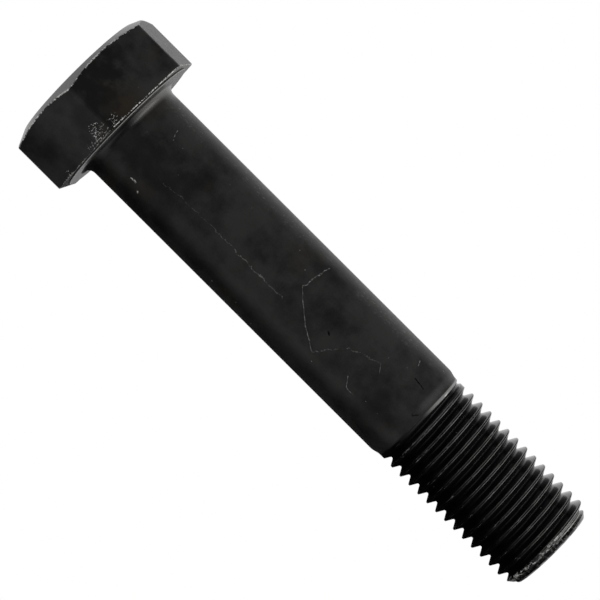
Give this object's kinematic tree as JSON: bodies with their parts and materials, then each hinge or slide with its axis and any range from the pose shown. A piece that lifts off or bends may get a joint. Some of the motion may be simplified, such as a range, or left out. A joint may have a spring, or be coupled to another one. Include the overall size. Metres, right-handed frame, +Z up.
{
  "type": "heavy hex structural bolt",
  "caption": "Heavy hex structural bolt with a chamfered six-sided head, plain shank and coarse right-hand thread, for clamping steel joints.",
  "frame": {"origin": "centre of the bearing face under the head, on the bolt's axis", "axes": "+X towards the threaded end; the bolt lies as it rests, on one flat of its head and the last crest of its thread, so its axis dips 3.0 degrees below +X; +Z up; +Y across the bolt"},
  "size_m": [0.1938, 0.0568, 0.0504],
  "materials": {
    "black_steel": "dark black oxide film on forged and rolled steel, satin, lightly oiled, worn bright along the edges and crests"
  },
  "bodies": {
    "root": {"hex_bolt": "black_steel"}
  },
  "joints": []
}
